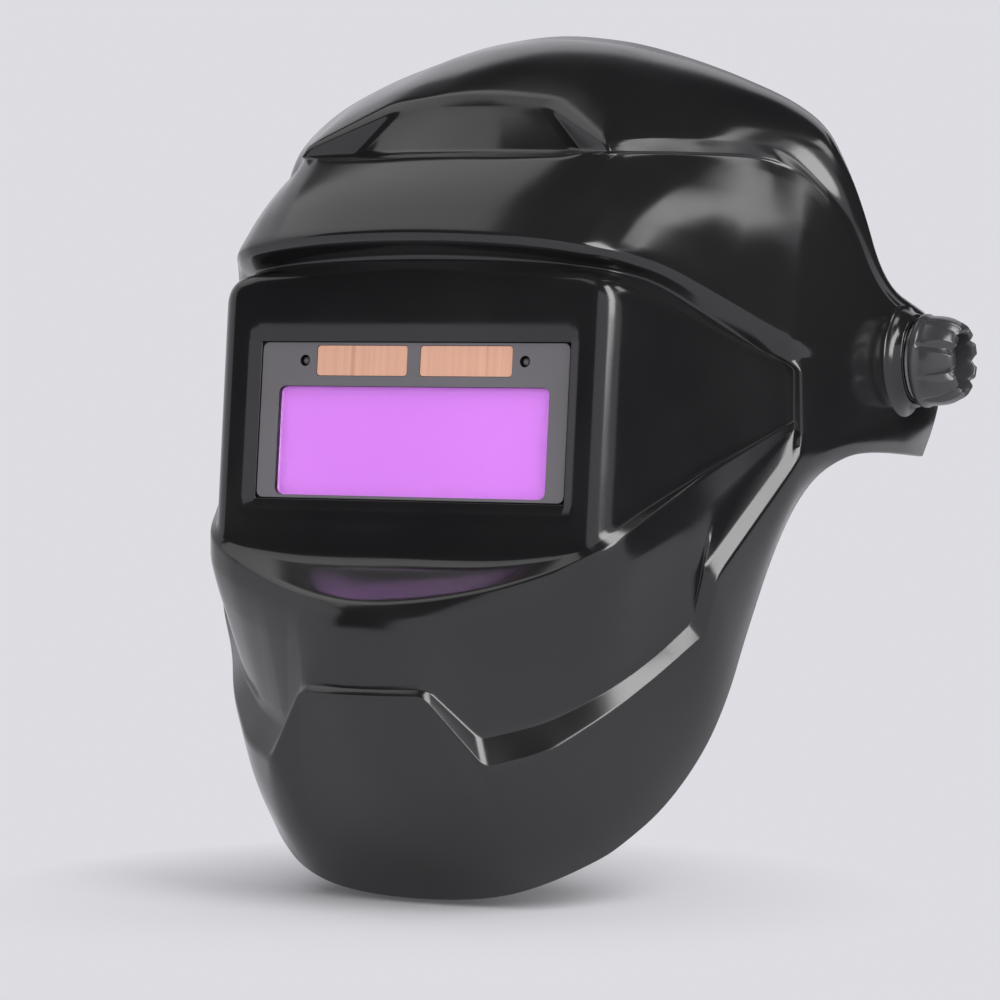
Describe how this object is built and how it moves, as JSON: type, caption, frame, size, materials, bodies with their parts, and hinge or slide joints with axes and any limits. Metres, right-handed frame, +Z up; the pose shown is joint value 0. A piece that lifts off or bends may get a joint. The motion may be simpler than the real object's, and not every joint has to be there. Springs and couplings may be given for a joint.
{
  "type": "welding helmet",
  "caption": "Glossy black welding helmet: a lift-up moulded shell with a solar auto-darkening filter, turning on a padded ratchet headgear with tension knobs.",
  "frame": {"origin": "middle of the pivot axis, between the wearer's temples", "axes": "+X to the wearer's left along the pivot axis, -Y out of the face, +Z up"},
  "size_m": [0.255, 0.2861, 0.2675],
  "materials": {
    "shell_plastic": "glossy black moulded polypropylene",
    "filter_frame": "satin grey moulded plastic",
    "filter_case": "satin black moulded plastic",
    "gasket_foam": "closed-cell foam",
    "clear_cover": "clear polycarbonate",
    "violet_glass": "coated filter glass with a violet sheen",
    "crystal_glass": "dark laminated glass",
    "solar_film": "copper pink solar film with fine lines",
    "sensor_window": "dark clear plastic",
    "board": "green board",
    "bright_steel": "plated steel",
    "band_plastic": "satin black moulded nylon",
    "padding": "foam under woven cloth",
    "bolt_plastic": "satin black nylon",
    "friction_fibre": "pressed fibre",
    "knob_plastic": "semi-gloss dark grey plastic",
    "insert_brass": "turned brass",
    "pinion_plastic": "natural nylon"
  },
  "bodies": {
    "headgear": {"headband": "band_plastic", "sweatband": "padding", "left_pivot_bracket": "band_plastic", "right_pivot_bracket": "band_plastic", "bracket_rivets": "bright_steel", "left_pivot_bolt": "bolt_plastic", "right_pivot_bolt": "bolt_plastic", "left_stop_washer": "bright_steel", "right_stop_washer": "bright_steel", "left_friction_washer": "friction_fibre", "right_friction_washer": "friction_fibre", "crown_strap_left": "band_plastic", "crown_strap_right": "band_plastic", "crown_peg": "band_plastic", "strap_rivets": "bright_steel", "left_knob_washer": "bright_steel", "right_knob_washer": "bright_steel", "rear_strap_left": "band_plastic", "rear_strap_right": "band_plastic"},
    "visor": {"shell": "shell_plastic", "filter_front": "filter_frame", "filter_back": "filter_case", "filter_gasket": "gasket_foam", "cover_lens": "clear_cover", "filter_glass": "violet_glass", "liquid_crystal_cell": "crystal_glass", "solar_cells": "solar_film", "arc_sensors": "sensor_window", "circuit_board": "board", "filter_battery": "bright_steel", "inner_cover_lens": "clear_cover", "filter_retainer": "filter_case", "retainer_screws": "bright_steel"},
    "left_knob": {"left_tension_knob": "knob_plastic", "left_knob_insert": "insert_brass"},
    "right_knob": {"right_tension_knob": "knob_plastic", "right_knob_insert": "insert_brass"},
    "rear_cradle": {"ratchet_housing": "band_plastic", "ratchet_cover": "band_plastic", "housing_screws": "bright_steel", "detent_spring": "bright_steel", "nape_pad": "padding"},
    "ratchet_dial": {"ratchet_pinion": "pinion_plastic", "ratchet_knob": "knob_plastic"}
  },
  "joints": [
    {"name": "shell_flip", "type": "hinge", "parent": "headgear", "child": "visor", "pos_m": [0, 0, 0], "axis": [-1, 0, 0], "range_deg": [0, 78]},
    {"name": "left_knob_turn", "type": "hinge", "parent": "headgear", "child": "left_knob", "pos_m": [0.115, 0, 0], "axis": [1, 0, 0], "range_deg": [0, 360]},
    {"name": "right_knob_turn", "type": "hinge", "parent": "headgear", "child": "right_knob", "pos_m": [-0.115, 0, 0], "axis": [-1, 0, 0], "range_deg": [0, 360]},
    {"name": "size_adjust", "type": "slide", "parent": "headgear", "child": "rear_cradle", "axis": [0, -0.9816, 0.1908], "range_m": [0, 0.02], "deforming": ["rear_strap_left", "rear_strap_right"]},
    {"name": "ratchet_turn", "type": "hinge", "parent": "rear_cradle", "child": "ratchet_dial", "pos_m": [0, 0.09816, -0.01308], "axis": [0, 0.9816, -0.1908], "range_deg": [0, 230]}
  ],
  "couplings": [
    {"joint": "ratchet_turn", "follows": "size_adjust", "rad_per_m": 200}
  ]
}
